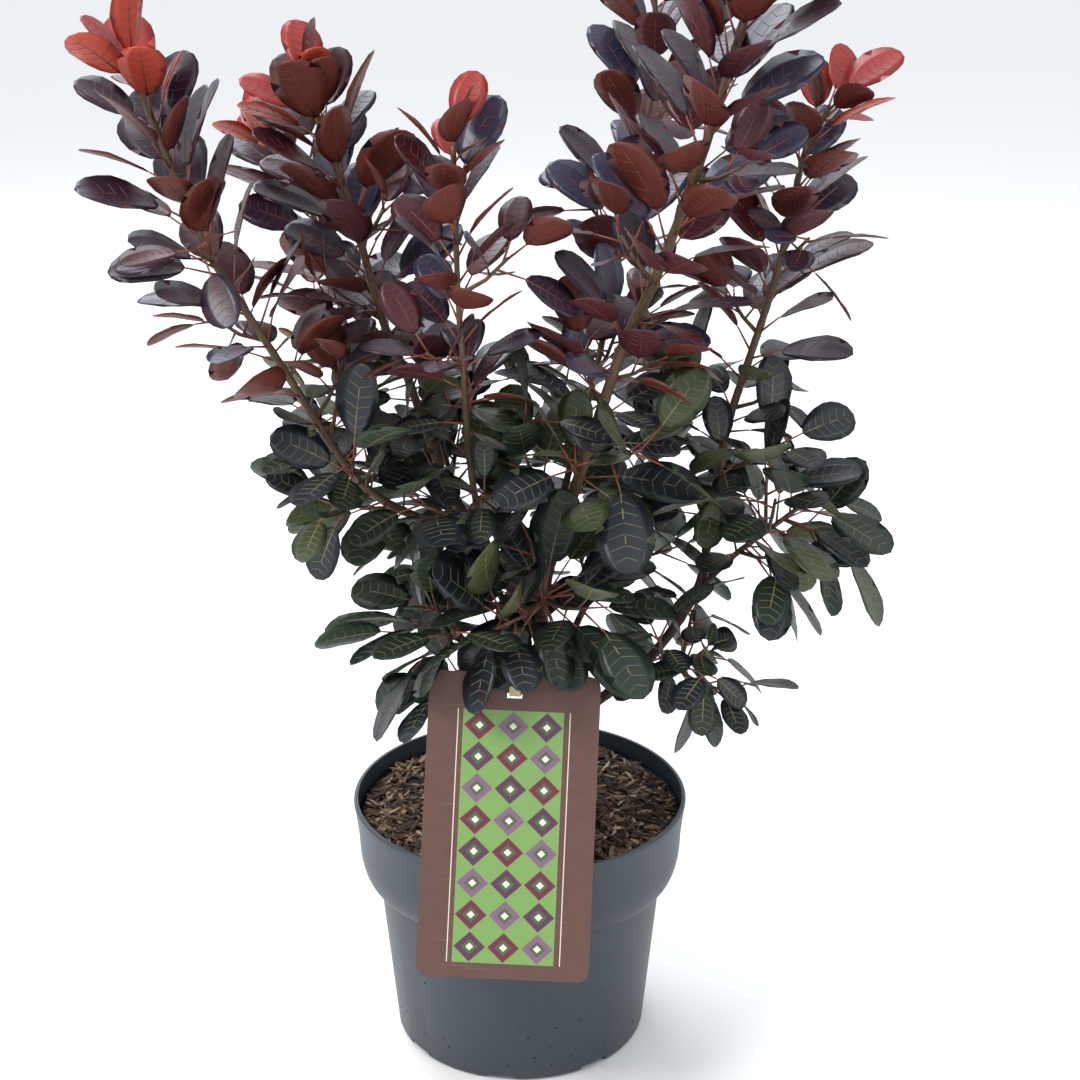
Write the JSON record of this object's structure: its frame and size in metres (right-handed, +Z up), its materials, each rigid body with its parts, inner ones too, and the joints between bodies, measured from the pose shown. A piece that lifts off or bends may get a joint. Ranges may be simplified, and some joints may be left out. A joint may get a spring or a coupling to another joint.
{
  "type": "potted royal purple smoke bush",
  "caption": "Young multi-stemmed smoke bush with purple and dark green leaves, in a round grey nursery pot of bark compost with a plain hang label.",
  "frame": {"origin": "middle of the pot's flat underside", "axes": "+Z up the plant; the label hangs on the -Y side"},
  "size_m": [0.4257, 0.2878, 0.6512],
  "materials": {
    "pot_plastic": "matte slate grey",
    "bark_compost": "rough bark compost",
    "label_card": "satin printed card",
    "cream_strap": "matte cream",
    "dark_bark": "smooth young bark",
    "purple_leaves": "satin purple leaf",
    "dark_green_leaves": "satin dark green leaf"
  },
  "bodies": {
    "root": {"pot": "pot_plastic", "compost": "bark_compost", "label_card": "label_card", "label_tie": "cream_strap", "trunk": "dark_bark", "tall_front_bough": "dark_bark", "far_left_bough": "dark_bark", "left_bough": "dark_bark", "right_bough": "dark_bark", "tall_back_bough": "dark_bark", "centre_left_bough": "dark_bark", "left_back_bough": "dark_bark", "outer_right_bough": "dark_bark", "front_bough": "dark_bark", "low_left_bough": "dark_bark", "low_right_bough": "dark_bark", "back_left_bough": "dark_bark", "back_right_bough": "dark_bark", "tall_front_leaves": "purple_leaves", "far_left_leaves": "purple_leaves", "left_leaves": "purple_leaves", "right_leaves": "purple_leaves", "tall_back_leaves": "purple_leaves", "centre_left_leaves": "purple_leaves", "left_back_leaves": "purple_leaves", "outer_right_leaves": "dark_green_leaves", "front_leaves": "dark_green_leaves", "low_left_leaves": "dark_green_leaves", "low_right_leaves": "dark_green_leaves", "back_left_leaves": "dark_green_leaves", "back_right_leaves": "dark_green_leaves"}
  },
  "joints": []
}
